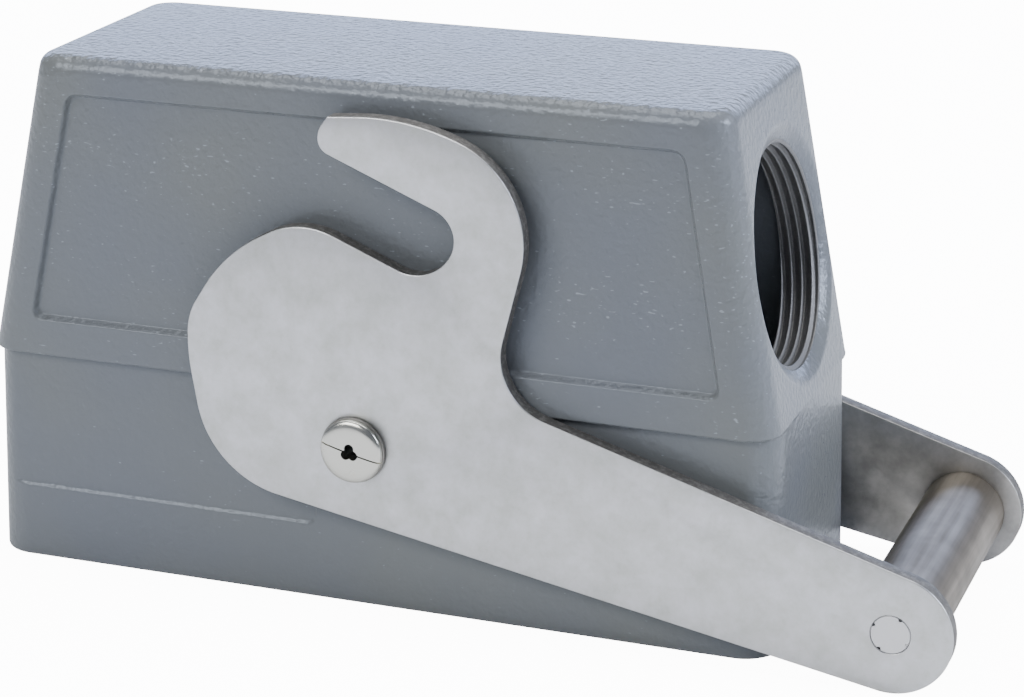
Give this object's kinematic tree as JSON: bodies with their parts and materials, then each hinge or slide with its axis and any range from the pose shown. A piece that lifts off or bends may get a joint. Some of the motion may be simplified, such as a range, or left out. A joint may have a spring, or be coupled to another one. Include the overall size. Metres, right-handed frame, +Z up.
{
  "type": "rectangular connector hood",
  "caption": "Tapered cast coupling hood of a rectangular multipole connector with a side cable entry, a hooked locking lever round both long sides and a recessed pin insert.",
  "frame": {"origin": "middle of the hood's open rim, in the plane of the rim that the hood stands on", "axes": "+X along the hood's length, towards the cable entry and the parked handle; +Z up from the rim to the roof; -Y towards the front cheek of the lever"},
  "size_m": [0.1453, 0.0534, 0.076],
  "materials": {
    "hood": "satin",
    "lever": "satin",
    "pivot": "polished",
    "seal": "matte",
    "insert": "matte",
    "contact": "satin",
    "screw": "satin"
  },
  "bodies": {
    "hood": {"hood_shell": "hood", "rim_seal": "seal", "pivot_stud_front": "pivot", "pivot_stud_rear": "pivot", "pivot_washer_front": "pivot", "pivot_washer_rear": "pivot", "insert_body": "insert", "insert_screws": "screw", "earth_screws": "screw", "clamp_screws": "screw", "earth_contact_plain_end": "screw", "earth_contact_entry_end": "screw", "contact_pin_01": "contact", "contact_pin_02": "contact", "contact_pin_03": "contact", "contact_pin_04": "contact", "contact_pin_05": "contact", "contact_pin_06": "contact", "contact_pin_07": "contact", "contact_pin_08": "contact", "contact_pin_09": "contact", "contact_pin_10": "contact", "contact_pin_11": "contact", "contact_pin_12": "contact", "contact_pin_13": "contact", "contact_pin_14": "contact", "contact_pin_15": "contact", "contact_pin_16": "contact", "contact_pin_17": "contact", "contact_pin_18": "contact", "contact_pin_19": "contact", "contact_pin_20": "contact", "contact_pin_21": "contact", "contact_pin_22": "contact", "contact_pin_23": "contact", "contact_pin_24": "contact"},
    "lever": {"lever_cheek_front": "lever", "lever_cheek_rear": "lever", "handle_sleeve": "lever", "handle_axle": "lever"}
  },
  "joints": [
    {"name": "lever_pivot", "type": "hinge", "parent": "hood", "child": "lever", "pos_m": [0, 0, 0.0249], "axis": [0, -1, 0], "range_deg": [0, 196]}
  ]
}
